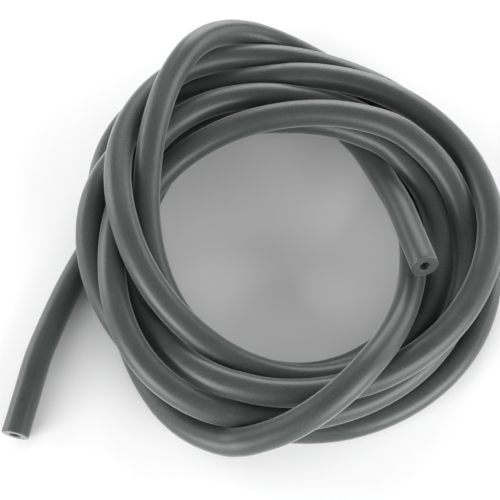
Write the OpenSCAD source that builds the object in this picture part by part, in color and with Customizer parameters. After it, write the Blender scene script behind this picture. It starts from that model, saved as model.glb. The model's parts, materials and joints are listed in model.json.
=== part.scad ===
// A loose coil of thick-walled rubber tubing, laid flat, with two plain cut ends.
// It is one continuous tube. The wound turns are one solid of their outer shape, and each
// free end is a swept stretch that leaves the turns, then a straight bored length.
// Millimetres, +Z up. The origin is the middle of the whole piece, on the surface it lies on.

/* [Tube] */
// Outside diameter of the rubber tube
tube_od = 10; // [9:0.5:10]
// Bore of the tube
tube_bore = 4; // [2:0.5:6]
// Straight length at each cut end, which takes a fitting or a clip
end_straight = 30; // [20:1:30]

/* [Coil] */
// Outside diameter of the coil
coil_od = 166; // [164:1:170]
// Diameter of the open middle
coil_eye = 94; // [88:1:94]
// Height of the wound turns
coil_h = 28; // [26:1:28]
// Rounding of the coil's two upper edges
crown_r = 12; // [8:1:13]

/* [Hidden] */

tube_r = tube_od / 2;
rubber = [0.22, 0.24, 0.23];
overshoot = 1;                    // how far a cutter runs past the face it cuts

// Swept stretches of tube
sides = 12;                       // sides of a swept tube
steps = 3;                        // rings between two points of a route

// Gaps in the coil where the ends come out from between the turns
notch_play = 1;                   // free space all round the tube

// Middle of the coil. It stands off the origin because the outer end reaches past the turns.
coil_centre = [10, 0, 0];

// The outer end leaves the bottom turn and lies on the surface.
outer_route = [[-64.5, -0.5, tube_r], [-69, -10, tube_r], [-73.5, -20.5, tube_r],
               [-78, -33, tube_r], [-82, -45.5, tube_r]];
outer_heading = [-6, -29, 0];     // the way the straight length points
outer_notch_len = 36;

// The inner end comes from under the upper turns, crosses the eye and rises over the coil.
inner_route = [[33.5, 49.5, 6.5], [40, 39, 10], [44.5, 27, 15], [48, 16, 20], [51, 6, 24.5]];
inner_heading = [6, -27, 9];
inner_notch_len = 34;

function unit(v) = v / norm(v);

// A point of the smooth curve from b to c, at t from 0 to 1, between neighbours a and d
function curve(a, b, c, d, t) =
    b + t * ((c - a) / 2 + t * (a - 2.5 * b + 2 * c - d / 2 + t * (1.5 * (b - c) + (d - a) / 2)));

// The route as a smooth line. It starts along its first leg and ends along the heading.
function smooth(route, heading) =
    let (last = len(route) - 1,
         leg = norm(route[last] - route[last - 1]),
         all = concat([2 * route[0] - route[1]], route, [route[last] + leg * unit(heading)]))
    concat([for (i = [0 : last - 1], s = [0 : steps - 1])
                curve(all[i], all[i + 1], all[i + 2], all[i + 3], s / steps)],
           [route[last]]);

// One ring of points round the centre, square to the way the tube runs there
function ring(centre, along, r) =
    let (side = unit(cross([0, 0, 1], along)), over = cross(along, side))
    [for (k = [0 : sides - 1]) centre + r * (cos(360 * k / sides) * side + sin(360 * k / sides) * over)];

// A solid tube swept along the route, with flat ends square to its first leg and its heading
module swept_tube(route, heading, r) {
    line = smooth(route, heading);
    last = len(line) - 1;
    along = [for (i = [0 : last])
        unit(i == 0 ? route[1] - route[0] : i == last ? heading : line[i + 1] - line[i - 1])];
    points = [for (i = [0 : last]) each ring(line[i], along[i], r)];
    first_cap = [for (k = [0 : sides - 1]) k];
    last_cap = [for (k = [sides - 1 : -1 : 0]) last * sides + k];
    walls = [for (i = [0 : last - 1], k = [0 : sides - 1])
        let (a = i * sides + k, b = i * sides + (k + 1) % sides)
        [a, a + sides, b + sides, b]];
    polyhedron(points, concat([first_cap, last_cap], walls), convexity = 6);
}

// Turns its children so that their +Z points along v, and puts them at p
module aimed(p, v) {
    translate(p) rotate([0, acos(unit(v)[2]), atan2(v[1], v[0])]) children();
}

// The space that a tube leaves the turns by: its far wall is flat and square to the first leg
module notch(route, length, low) {
    leg = route[1] - route[0];
    wide = tube_od + 2 * notch_play;
    aimed(route[0], leg)
        translate([-tube_r - notch_play, -wide / 2, 0]) cube([wide + low, wide, length]);
}

// Half-section of the wound turns: flat below, crowned above
module coil_section() {
    inner = coil_eye / 2;
    outer = coil_od / 2;
    for (x = [inner + tube_r, outer - tube_r]) translate([x, tube_r]) circle(tube_r, $fn = 48);
    for (x = [inner + crown_r, outer - crown_r]) translate([x, coil_h - crown_r]) circle(crown_r, $fn = 48);
    translate([inner + tube_r, 0]) square([outer - inner - tube_od, coil_h / 2]);
    translate([inner, tube_r]) square([outer - inner, coil_h - crown_r - tube_r]);
    translate([inner + crown_r, coil_h / 2]) square([outer - inner - 2 * crown_r, coil_h / 2]);
}

// The wound turns, open in the middle
module coil() {
    color(rubber) difference() {
        translate(coil_centre) rotate_extrude($fn = 96) coil_section();
        notch(outer_route, outer_notch_len, overshoot);
        notch(inner_route, inner_notch_len, 0);
    }
}

// The straight length at a cut end, bored right through
module bored_end(start, heading) {
    color(rubber) aimed(start, heading) difference() {
        cylinder(h = end_straight, d = tube_od, $fn = 48);
        translate([0, 0, -overshoot]) cylinder(h = end_straight + 2 * overshoot, d = tube_bore, $fn = 32);
    }
}

module outer_tail() {
    color(rubber) swept_tube(outer_route, outer_heading, tube_r);
}

module outer_end() {
    bored_end(outer_route[len(outer_route) - 1], outer_heading);
}

module inner_tail() {
    color(rubber) swept_tube(inner_route, inner_heading, tube_r);
}

module inner_end() {
    bored_end(inner_route[len(inner_route) - 1], inner_heading);
}

coil();
outer_tail();
outer_end();
inner_tail();
inner_end();
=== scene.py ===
"""A loose flat coil of thick-walled rubber tube with two plain cut ends.

The whole tube is one mesh with a bore right through it. Its free stretches follow the points
that the CAD model has. Its wound turns are laid down from a short description of where each turn
swings in and out, and then settle on each other under their own weight.
"""
import json
import math

import bpy
import numpy as np
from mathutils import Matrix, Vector


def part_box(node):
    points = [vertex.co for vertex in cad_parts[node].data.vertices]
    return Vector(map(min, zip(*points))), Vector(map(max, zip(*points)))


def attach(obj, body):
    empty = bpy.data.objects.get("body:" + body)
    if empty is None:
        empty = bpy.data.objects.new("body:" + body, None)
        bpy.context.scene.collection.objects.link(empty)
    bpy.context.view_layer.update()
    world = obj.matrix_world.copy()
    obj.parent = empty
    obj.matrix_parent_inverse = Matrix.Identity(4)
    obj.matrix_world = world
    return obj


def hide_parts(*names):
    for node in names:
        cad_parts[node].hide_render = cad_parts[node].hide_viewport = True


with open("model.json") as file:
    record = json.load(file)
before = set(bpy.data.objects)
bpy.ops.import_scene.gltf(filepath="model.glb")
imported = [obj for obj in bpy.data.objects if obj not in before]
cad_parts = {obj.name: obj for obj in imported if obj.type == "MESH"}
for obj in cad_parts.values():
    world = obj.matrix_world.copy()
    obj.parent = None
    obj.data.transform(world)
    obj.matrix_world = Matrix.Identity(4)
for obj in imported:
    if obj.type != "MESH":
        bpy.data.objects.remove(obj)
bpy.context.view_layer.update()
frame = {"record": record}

# Sizes that the frame gives, in metres
MM = 0.001
END_LOW, END_HIGH = (np.array(corner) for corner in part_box("outer_end"))
COIL_LOW, COIL_HIGH = (np.array(corner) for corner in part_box("coil"))
MOUNTS = {mount["name"]: mount for mount in frame["record"]["mounts"]}
TUBE_OD = float(END_HIGH[2] - END_LOW[2])
TUBE_R = TUBE_OD / 2
BORE_R = MOUNTS["outer_bore"]["dims"]["r_mm"] * MM
END_STRAIGHT = MOUNTS["outer_bore"]["dims"]["length_mm"] * MM
COIL_MIDDLE = (COIL_LOW + COIL_HIGH) / 2

# The free stretches, in millimetres, as the CAD model has them
OUTER_ROUTE = [(-64.5, -0.5, 5), (-69, -10, 5), (-73.5, -20.5, 5), (-78, -33, 5), (-82, -45.5, 5)]
OUTER_HEADING = (-6, -29, 0)
INNER_ROUTE = [(33.5, 49.5, 6.5), (40, 39, 10), (44.5, 27, 15), (48, 16, 20), (51, 6, 24.5)]
INNER_HEADING = (6, -27, 9)

# Where each turn swings in or out, or climbs over another. In order: degrees round from the
# coil's left side, clockwise from above; distance of the tube's middle line from the coil's
# middle, in millimetres; and its height in tube diameters, where 0.5 lies on the surface.
TURNS = [
    [(15, 69, 0.6), (35, 63, 0.9), (60, 54, 1.5), (90, 47, 1.6), (120, 48, 1.7), (135, 50, 1.9),
     (150, 53, 1.8), (165, 57, 1.6), (180, 60, 1.5), (245, 61, 1.4), (285, 58, 1.8), (315, 58, 2.2)],
    [(0, 61, 3.3), (35, 73, 2.6), (60, 77, 1.7), (110, 72, 1.4), (150, 73, 1.0), (215, 79, 0.5),
     (260, 71, 0.5), (300, 71, 1.1), (330, 71, 1.7)],
    [(0, 69, 2.3), (30, 71, 1.3), (60, 72, 0.5), (85, 72, 0.5), (140, 54, 0.5), (165, 50, 0.6),
     (195, 49, 1.3), (210, 51, 2.0), (225, 55, 2.5), (245, 63, 3.2), (260, 71, 3.1), (275, 79, 2.4),
     (290, 83, 1.4), (305, 78, 0.6), (320, 70, 0.5), (335, 64, 0.5)],
    [(10, 71, 1.2), (40, 74, 0.8), (70, 71, 1.6), (100, 68, 2.1), (140, 72, 2.3), (190, 73, 2.2),
     (255, 67, 2.5), (290, 68, 2.4), (325, 65, 2.0)],
    [(30, 56, 1.9), (55, 49, 2.2), (85, 44, 2.6), (115, 45, 2.8), (145, 57, 2.8), (165, 64, 2.5),
     (185, 69, 1.7), (215, 68, 1.4), (255, 69, 1.4), (275, 74, 1.6), (295, 79, 2.1), (315, 77, 2.4),
     (340, 70, 2.6)],
    [(20, 64, 2.4), (60, 60, 2.2), (120, 61, 1.4), (150, 60, 0.8), (170, 57, 0.5), (265, 57, 0.5),
     (330, 54, 1.3)],
    [(0, 54, 2.4), (20, 54, 3.2), (35, 59, 3.3), (50, 70, 3.1), (65, 83, 2.4), (75, 88, 1.7),
     (85, 85, 1.0), (100, 76, 0.6), (120, 70, 0.5), (160, 66, 0.5), (220, 67, 0.7), (270, 65, 1.1),
     (320, 61, 0.7)],
    [(45, 66, 0.5), (75, 70, 0.5), (95, 68, 0.5), (110, 61, 0.5)],
]
STEPS_PER_TURN = 24

RING_PITCH = 2.5 * MM        # between the points of the settled route
RING_SIDES = 40
RIM_ROUND = 0.35 * MM        # rounding of the cut ends' edges
EASING = 40 * MM             # over which the held ends pass into the loose turns
CURVE_STEPS = 6              # steps of the laid route between two of its points

# How the laid turns settle, round by round, while the tube grows to its full thickness
ROUNDS = 350
START_THICKNESS = 0.55       # share of the tube's thickness at the first round
GROWTH = 0.9                 # share that would be gained by the last, but it stops at the whole
HOLD_ACROSS = 0.02           # share of the way back to its laid place that a round pulls a point
HOLD_UP = 0.006
SINK = 0.04                  # millimetres that a turn sinks in the first round
SINK_LOSS = 0.03             # how much less it sinks in the last
BENDING = ((1, 0.25), (3, 0.2), (8, 0.1), (1, 0.25))  # reach in points, and stiffness
PUSHES = 5                   # times in a round that touching turns are pushed apart
PUSH_SHARE = 1.2             # how much of an overlap one push takes away
CROWDING = 0.7               # how much a push shrinks where many turns touch one point
CROSSING_GAIN = 12           # how soon turns at an angle count as crossing
CROSSING_LIFT = 0.8          # tube diameters that a crossing pushes up rather than aside
PAIR_REACH = 1.3             # tube diameters within which turns are tested for touching
PAIR_ROUNDS = 5              # rounds between two searches for turns that may touch
OWN_REACH = 2.2              # tube diameters along the tube that don't count as another turn


# ---- The route of the tube's middle line ----

def unit(vector):
    vector = np.array(vector, float)
    return vector / np.linalg.norm(vector)


def smooth_line(points, steps):
    """A smooth curve through the points, with that many steps between each two."""
    points = np.array(points, float)
    padded = np.concatenate([[2 * points[0] - points[1]], points, [2 * points[-1] - points[-2]]])
    line = []
    for before, start, end, after in zip(padded, padded[1:], padded[2:], padded[3:]):
        for t in np.arange(steps) / steps:
            cubic = 1.5 * (start - end) + (after - before) / 2
            square = before - 2.5 * start + 2 * end - after / 2
            line.append(start + t * ((end - before) / 2 + t * (square + t * cubic)))
    line.append(points[-1])
    return np.array(line)


def length_along(line):
    """How far along the line each of its points is."""
    legs = np.linalg.norm(np.diff(line, axis=0), axis=1)
    return np.concatenate([[0], np.cumsum(legs)])


def even_points(line, pitch):
    """The same line with its points evenly spaced."""
    along = length_along(line)
    places = np.linspace(0, along[-1], round(along[-1] / pitch) + 1)
    return np.stack([np.interp(places, along, line[:, axis]) for axis in range(3)], axis=-1)


def smooth_values(places, known, values):
    """Values at the places, on a smooth curve through the known ones."""
    slopes = np.gradient(values, known)
    start = np.clip(np.searchsorted(known, places, side="right") - 1, 0, len(known) - 2)
    step = known[start + 1] - known[start]
    t = (places - known[start]) / step
    blend = t * t * (3 - 2 * t)
    level = values[start] + blend * (values[start + 1] - values[start])
    return level + step * t * (1 - t) * ((1 - t) * slopes[start] - t * slopes[start + 1])


def wound_turns():
    """The middle line of the turns, worked out step by step round the coil."""
    swings = [
        (360 * number + turned, out, up)
        for number, turn in enumerate(TURNS)
        for turned, out, up in turn
    ]
    known, radius, level = np.array(swings, float).T
    places = np.arange(known[0], known[-1], 360 / STEPS_PER_TURN)
    radius = smooth_values(places, known, radius) * MM
    height = smooth_values(places, known, level) * TUBE_OD
    angle = math.pi - np.radians(places)
    x = COIL_MIDDLE[0] + radius * np.cos(angle)
    y = COIL_MIDDLE[1] + radius * np.sin(angle)
    return np.stack([x, y, np.maximum(height, TUBE_R)], axis=-1)


def free_stretch(route, heading):
    """The points of a free stretch and of the straight end beyond it."""
    route = np.array(route, float) * MM
    ends = [route[-1] + unit(heading) * END_STRAIGHT * part for part in (0.5, 1)]
    return np.concatenate([route, ends])


def laid_route():
    outer = free_stretch(OUTER_ROUTE, OUTER_HEADING)[::-1]
    inner = free_stretch(INNER_ROUTE, INNER_HEADING)
    line = smooth_line(np.concatenate([outer, wound_turns(), inner]), CURVE_STEPS)
    return even_points(line, RING_PITCH)


def how_free(line):
    """0 on the two free stretches and their straight ends, which are held, and 1 in the turns."""
    near = length_along(line)
    outer_held, inner_held = (
        length_along(free_stretch(route, heading))[-1]
        for route, heading in ((OUTER_ROUTE, OUTER_HEADING), (INNER_ROUTE, INNER_HEADING))
    )
    into_turns = np.minimum(near - outer_held, near[-1] - near - inner_held)
    return np.clip(into_turns / EASING, 0, 1)[:, None]


def bend_smoothly(line, free, stiffness, reach):
    """Takes out sharp changes of bend over that many points, as the rubber's own stiffness does."""
    kink = np.zeros_like(line)
    kink[reach:-reach] = (line[:-2 * reach] + line[2 * reach:]) / 2 - line[reach:-reach]
    inner = slice(2 * reach, -2 * reach)
    change = np.zeros_like(line)
    change[inner] = (kink[reach:-3 * reach] + kink[3 * reach:-reach]) / 2 - kink[inner]
    return line - stiffness * free * change


def touching_pairs(line, reach):
    """Pairs of points of different turns that are nearer than reach."""
    gap = np.linalg.norm(line[:, None] - line[None], axis=-1)
    own_length = math.ceil(OWN_REACH * TUBE_OD / RING_PITCH)
    return np.nonzero(np.triu(gap < reach, own_length))


def push_apart(line, first, second, free, width):
    """Moves turns that overlap away from each other, and where they cross, one over the other."""
    apart = line[second] - line[first]
    overlap = width - np.linalg.norm(apart, axis=1)
    hit = overlap > 0
    first, second, apart, overlap = first[hit], second[hit], apart[hit], overlap[hit]
    along = np.gradient(line, axis=0)
    along /= np.linalg.norm(along, axis=1)[:, None]
    crossing = 1 - np.abs(np.sum(along[first] * along[second], axis=1))
    over = np.where(apart[:, 2] < 0, -1, 1)
    apart[:, 2] += over * np.clip(CROSSING_GAIN * crossing, 0, 1) * CROSSING_LIFT * TUBE_OD
    push = apart / np.linalg.norm(apart, axis=1)[:, None] * overlap[:, None] / 2
    move = np.zeros_like(line)
    share = np.zeros(len(line))
    for pair_end, way in ((first, -1), (second, 1)):
        np.add.at(move, pair_end, way * push)
        np.add.at(share, pair_end, 1)
    line = line + PUSH_SHARE * free * move / np.maximum(share, 1)[:, None] ** CROWDING
    line[:, 2] = np.maximum(line[:, 2], TUBE_R)
    return line


def keep_length(line, free, pitch):
    """Brings neighbouring points back to the same distance from each other."""
    for start in (0, 1):
        left = np.arange(start, len(line) - 1, 2)
        right = left + 1
        leg = line[right] - line[left]
        size = np.linalg.norm(leg, axis=1)[:, None]
        fix = leg / size * (size - pitch) / 4
        line[left] += fix * free[left]
        line[right] -= fix * free[right]
    return line


def settle(laid, rounds):
    """Lets the laid turns sink onto each other while the tube grows to its full thickness."""
    free = how_free(laid)
    pitch = length_along(laid)[-1] / (len(laid) - 1)
    line = laid.copy()
    for number in range(rounds):
        done = number / rounds
        width = TUBE_OD * min(1, START_THICKNESS + GROWTH * done)
        if number % PAIR_ROUNDS == 0:
            first, second = touching_pairs(line, PAIR_REACH * TUBE_OD)
        back = free * (1 - done / 2) * (laid - line)
        line[:, :2] += HOLD_ACROSS * back[:, :2]
        line[:, 2:] += HOLD_UP * back[:, 2:] - (SINK - SINK_LOSS * done) * MM * free
        for reach, stiffness in BENDING:
            line = bend_smoothly(line, free, stiffness, reach)
        for _ in range(PUSHES):
            line = push_apart(line, first, second, free, width)
        line = keep_length(line, free, pitch)
    return line


# ---- The tube's mesh ----

def side_vectors(line):
    """Two vectors square to the line at each point, which don't twist along it."""
    along = np.gradient(line, axis=0)
    along /= np.linalg.norm(along, axis=1)[:, None]
    side = unit(np.cross(along[0], (0, 0, 1)))
    sides = []
    for direction in along:
        side = unit(side - np.dot(side, direction) * direction)
        sides.append(side)
    sides = np.array(sides)
    return sides, np.cross(along, sides)


def wall_profile(length):
    """Pairs of place along the tube and radius, out along the outside and back down the bore."""
    turn = np.radians([0, 22.5, 45, 67.5, 90])
    inset = RIM_ROUND * (1 - np.sin(turn))
    lower = RIM_ROUND * (1 - np.cos(turn))
    body = np.linspace(0, length, round(length / RING_PITCH) + 1)[1:-1]
    outside = [(x, TUBE_R) for x in body]
    inside = [(x, BORE_R) for x in body[::-1]]
    near_rim = [(x, TUBE_R - d) for x, d in zip(inset[::-1], lower[::-1])]
    far_rim = [(length - x, TUBE_R - d) for x, d in zip(inset, lower)]
    far_bore = [(length - x, BORE_R + d) for x, d in zip(inset[::-1], lower[::-1])]
    near_bore = [(x, BORE_R + d) for x, d in zip(inset, lower)]
    return near_rim + outside + far_rim + far_bore + inside + near_bore


def tube_mesh(line):
    along = length_along(line)
    side, over = side_vectors(line)
    profile = np.array(wall_profile(along[-1]))
    turn = np.linspace(0, 2 * math.pi, RING_SIDES, endpoint=False)
    ring = np.stack([np.cos(turn), np.sin(turn)], axis=-1)

    def at(values, place):
        return np.stack([np.interp(place, along, values[:, axis]) for axis in range(3)], axis=-1)

    middle, side, over = (at(values, profile[:, 0]) for values in (line, side, over))
    out = ring[None, :, 0, None] * side[:, None] + ring[None, :, 1, None] * over[:, None]
    points = middle[:, None] + profile[:, 1, None, None] * out
    count = len(profile)
    faces = []
    for row in range(count):
        here, after = row * RING_SIDES, (row + 1) % count * RING_SIDES
        for place in range(RING_SIDES):
            beside = (place + 1) % RING_SIDES
            faces.append((here + place, here + beside, after + beside, after + place))
    mesh = bpy.data.meshes.new("rubber_tube")
    mesh.from_pydata(points.reshape(-1, 3).tolist(), [], faces)
    mesh.shade_smooth()

    # Where each point was on the straight tube, for patterns that run along it
    unwound = np.zeros((count, RING_SIDES, 3))
    unwound[:, :, :2] = profile[:, 1, None, None] * ring[None]
    unwound[:, :, 2] = profile[:, 0, None]
    place = mesh.attributes.new("straight_tube", "FLOAT_VECTOR", "POINT")
    place.data.foreach_set("vector", unwound.ravel())
    return mesh


# ---- Materials ----

class Nodes:
    """A new material's nodes, with short ways to add and join them."""

    def __init__(self, name):
        self.material = bpy.data.materials.new(name)
        self.material.use_nodes = True
        self.tree = self.material.node_tree
        self.shader = self.tree.nodes["Principled BSDF"]

    def add(self, kind, **settings):
        node = self.tree.nodes.new("ShaderNode" + kind)
        for name, value in settings.items():
            setattr(node, name, value)
        return node

    def join(self, output, entry):
        self.tree.links.new(output, entry)

    def stretched(self, source, scale):
        """The source vector with each axis scaled."""
        mapping = self.add("Mapping")
        mapping.inputs["Scale"].default_value = scale
        self.join(source, mapping.inputs["Vector"])
        return mapping.outputs["Vector"]

    def noise(self, vector, scale, detail=3, roughness=0.5):
        node = self.add("TexNoise")
        node.inputs["Scale"].default_value = scale
        node.inputs["Detail"].default_value = detail
        node.inputs["Roughness"].default_value = roughness
        self.join(vector, node.inputs["Vector"])
        return node.outputs["Fac"]

    def ranged(self, source, low, high, to_low, to_high):
        node = self.add("MapRange")
        limits = {"From Min": low, "From Max": high, "To Min": to_low, "To Max": to_high}
        for name, value in limits.items():
            node.inputs[name].default_value = value
        self.join(source, node.inputs["Value"])
        return node.outputs["Result"]

    def blend(self, first, second, share):
        """The first value, with that share of it taken by the second."""
        node = self.add("Mix")
        node.inputs["Factor"].default_value = share
        self.join(first, node.inputs["A"])
        self.join(second, node.inputs["B"])
        return node.outputs["Result"]

    def ramp(self, source, *stops):
        """Colours by value: each stop is a place from 0 to 1 and a colour."""
        node = self.add("ValToRGB")
        elements = node.color_ramp.elements
        for element, (place, colour) in zip(elements, stops):
            element.position = place
            element.color = (*colour, 1)
        self.join(source, node.inputs["Fac"])
        return node.outputs["Color"]

    def bump(self, height, distance, under=None):
        node = self.add("Bump")
        node.inputs["Distance"].default_value = distance
        self.join(height, node.inputs["Height"])
        if under:
            self.join(under, node.inputs["Normal"])
        return node.outputs["Normal"]


def rubber():
    """Dark greenish grey rubber: speckled, faintly lined along the tube, with paler dusty patches."""
    nodes = Nodes("tube_rubber")
    place = nodes.add("Attribute", attribute_name="straight_tube").outputs["Vector"]
    streaks = nodes.noise(nodes.stretched(place, (1, 1, 0.02)), scale=900, detail=4)
    patches = nodes.noise(place, scale=60, detail=4)
    speckle = nodes.noise(place, scale=1300, detail=2, roughness=0.7)
    dark, pale = (0.025, 0.030, 0.028), (0.057, 0.067, 0.063)
    colour = nodes.ramp(nodes.blend(patches, speckle, share=0.6), (0.3, dark), (0.7, pale))
    nodes.join(colour, nodes.shader.inputs["Base Color"])
    nodes.join(nodes.ranged(streaks, 0.3, 0.7, 0.34, 0.46), nodes.shader.inputs["Roughness"])
    lines = nodes.bump(streaks, distance=0.03 * MM)
    nodes.join(nodes.bump(speckle, distance=0.04 * MM, under=lines), nodes.shader.inputs["Normal"])
    nodes.shader.inputs["Specular IOR Level"].default_value = 0.5
    nodes.shader.inputs["Sheen Weight"].default_value = 0.6
    nodes.shader.inputs["Sheen Roughness"].default_value = 0.35
    return nodes.material


def plain(name, colour, roughness):
    nodes = Nodes(name)
    nodes.shader.inputs["Base Color"].default_value = (*colour, 1)
    nodes.shader.inputs["Roughness"].default_value = roughness
    return nodes.material


# ---- The scene ----

def make_camera():
    """Looks down on the coil from the front, a little to its left."""
    elevation = math.radians(66)
    distance = 0.43
    target = Vector((-0.0044, -0.004, 0.008))
    back = Vector((0, -math.cos(elevation), math.sin(elevation)))
    camera_data = bpy.data.cameras.new("camera")
    camera_data.sensor_width = 36
    camera_data.lens = 81.7
    camera = bpy.data.objects.new("camera", camera_data)
    camera.location = target + distance * back
    camera.rotation_euler = back.to_track_quat("Z", "Y").to_euler()
    bpy.context.collection.objects.link(camera)
    bpy.context.scene.camera = camera


def make_tube():
    line = settle(laid_route(), rounds=ROUNDS)
    mesh = tube_mesh(line)
    tube = bpy.data.objects.new("rubber_tube", mesh)
    bpy.context.collection.objects.link(tube)
    mesh.materials.append(rubber())
    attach(tube, "root")
    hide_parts("coil", "outer_tail", "outer_end", "inner_tail", "inner_end")


def make_floor():
    """Plain and pale, reaching well past the camera's view."""
    size = 3
    mesh = bpy.data.meshes.new("floor")
    corners = [(-size, -size, 0), (size, -size, 0), (size, size, 0), (-size, size, 0)]
    mesh.from_pydata(corners, [], [(0, 1, 2, 3)])
    floor = bpy.data.objects.new("floor", mesh)
    bpy.context.collection.objects.link(floor)
    mesh.materials.append(plain("floor", (0.9, 0.9, 0.9), 0.9))


def make_light(name, place, size, power):
    data = bpy.data.lights.new(name, "AREA")
    data.size = size
    data.energy = power
    light = bpy.data.objects.new(name, data)
    light.location = place
    light.rotation_euler = Vector(place).to_track_quat("Z", "Y").to_euler()
    bpy.context.collection.objects.link(light)


def make_lighting():
    """Soft low lights all round, so that each strand has a long pale highlight."""
    world = bpy.data.worlds.new("studio")
    world.use_nodes = True
    background = world.node_tree.nodes["Background"]
    background.inputs["Color"].default_value = (1, 1, 1, 1)
    background.inputs["Strength"].default_value = 0.34
    bpy.context.scene.world = world
    make_light("front_left", (-1.1, -1.0, 0.4), 1.1, 31)
    make_light("front_right", (1.1, -0.95, 0.4), 1.1, 28)
    make_light("left", (-1.3, 0.5, 0.35), 0.9, 12)
    make_light("right", (1.3, 0.5, 0.35), 0.9, 10)
    make_light("back", (0.15, 1.3, 0.4), 1.0, 18)
    bpy.context.scene.view_settings.view_transform = "Standard"


make_camera()
make_tube()
make_floor()
make_lighting()
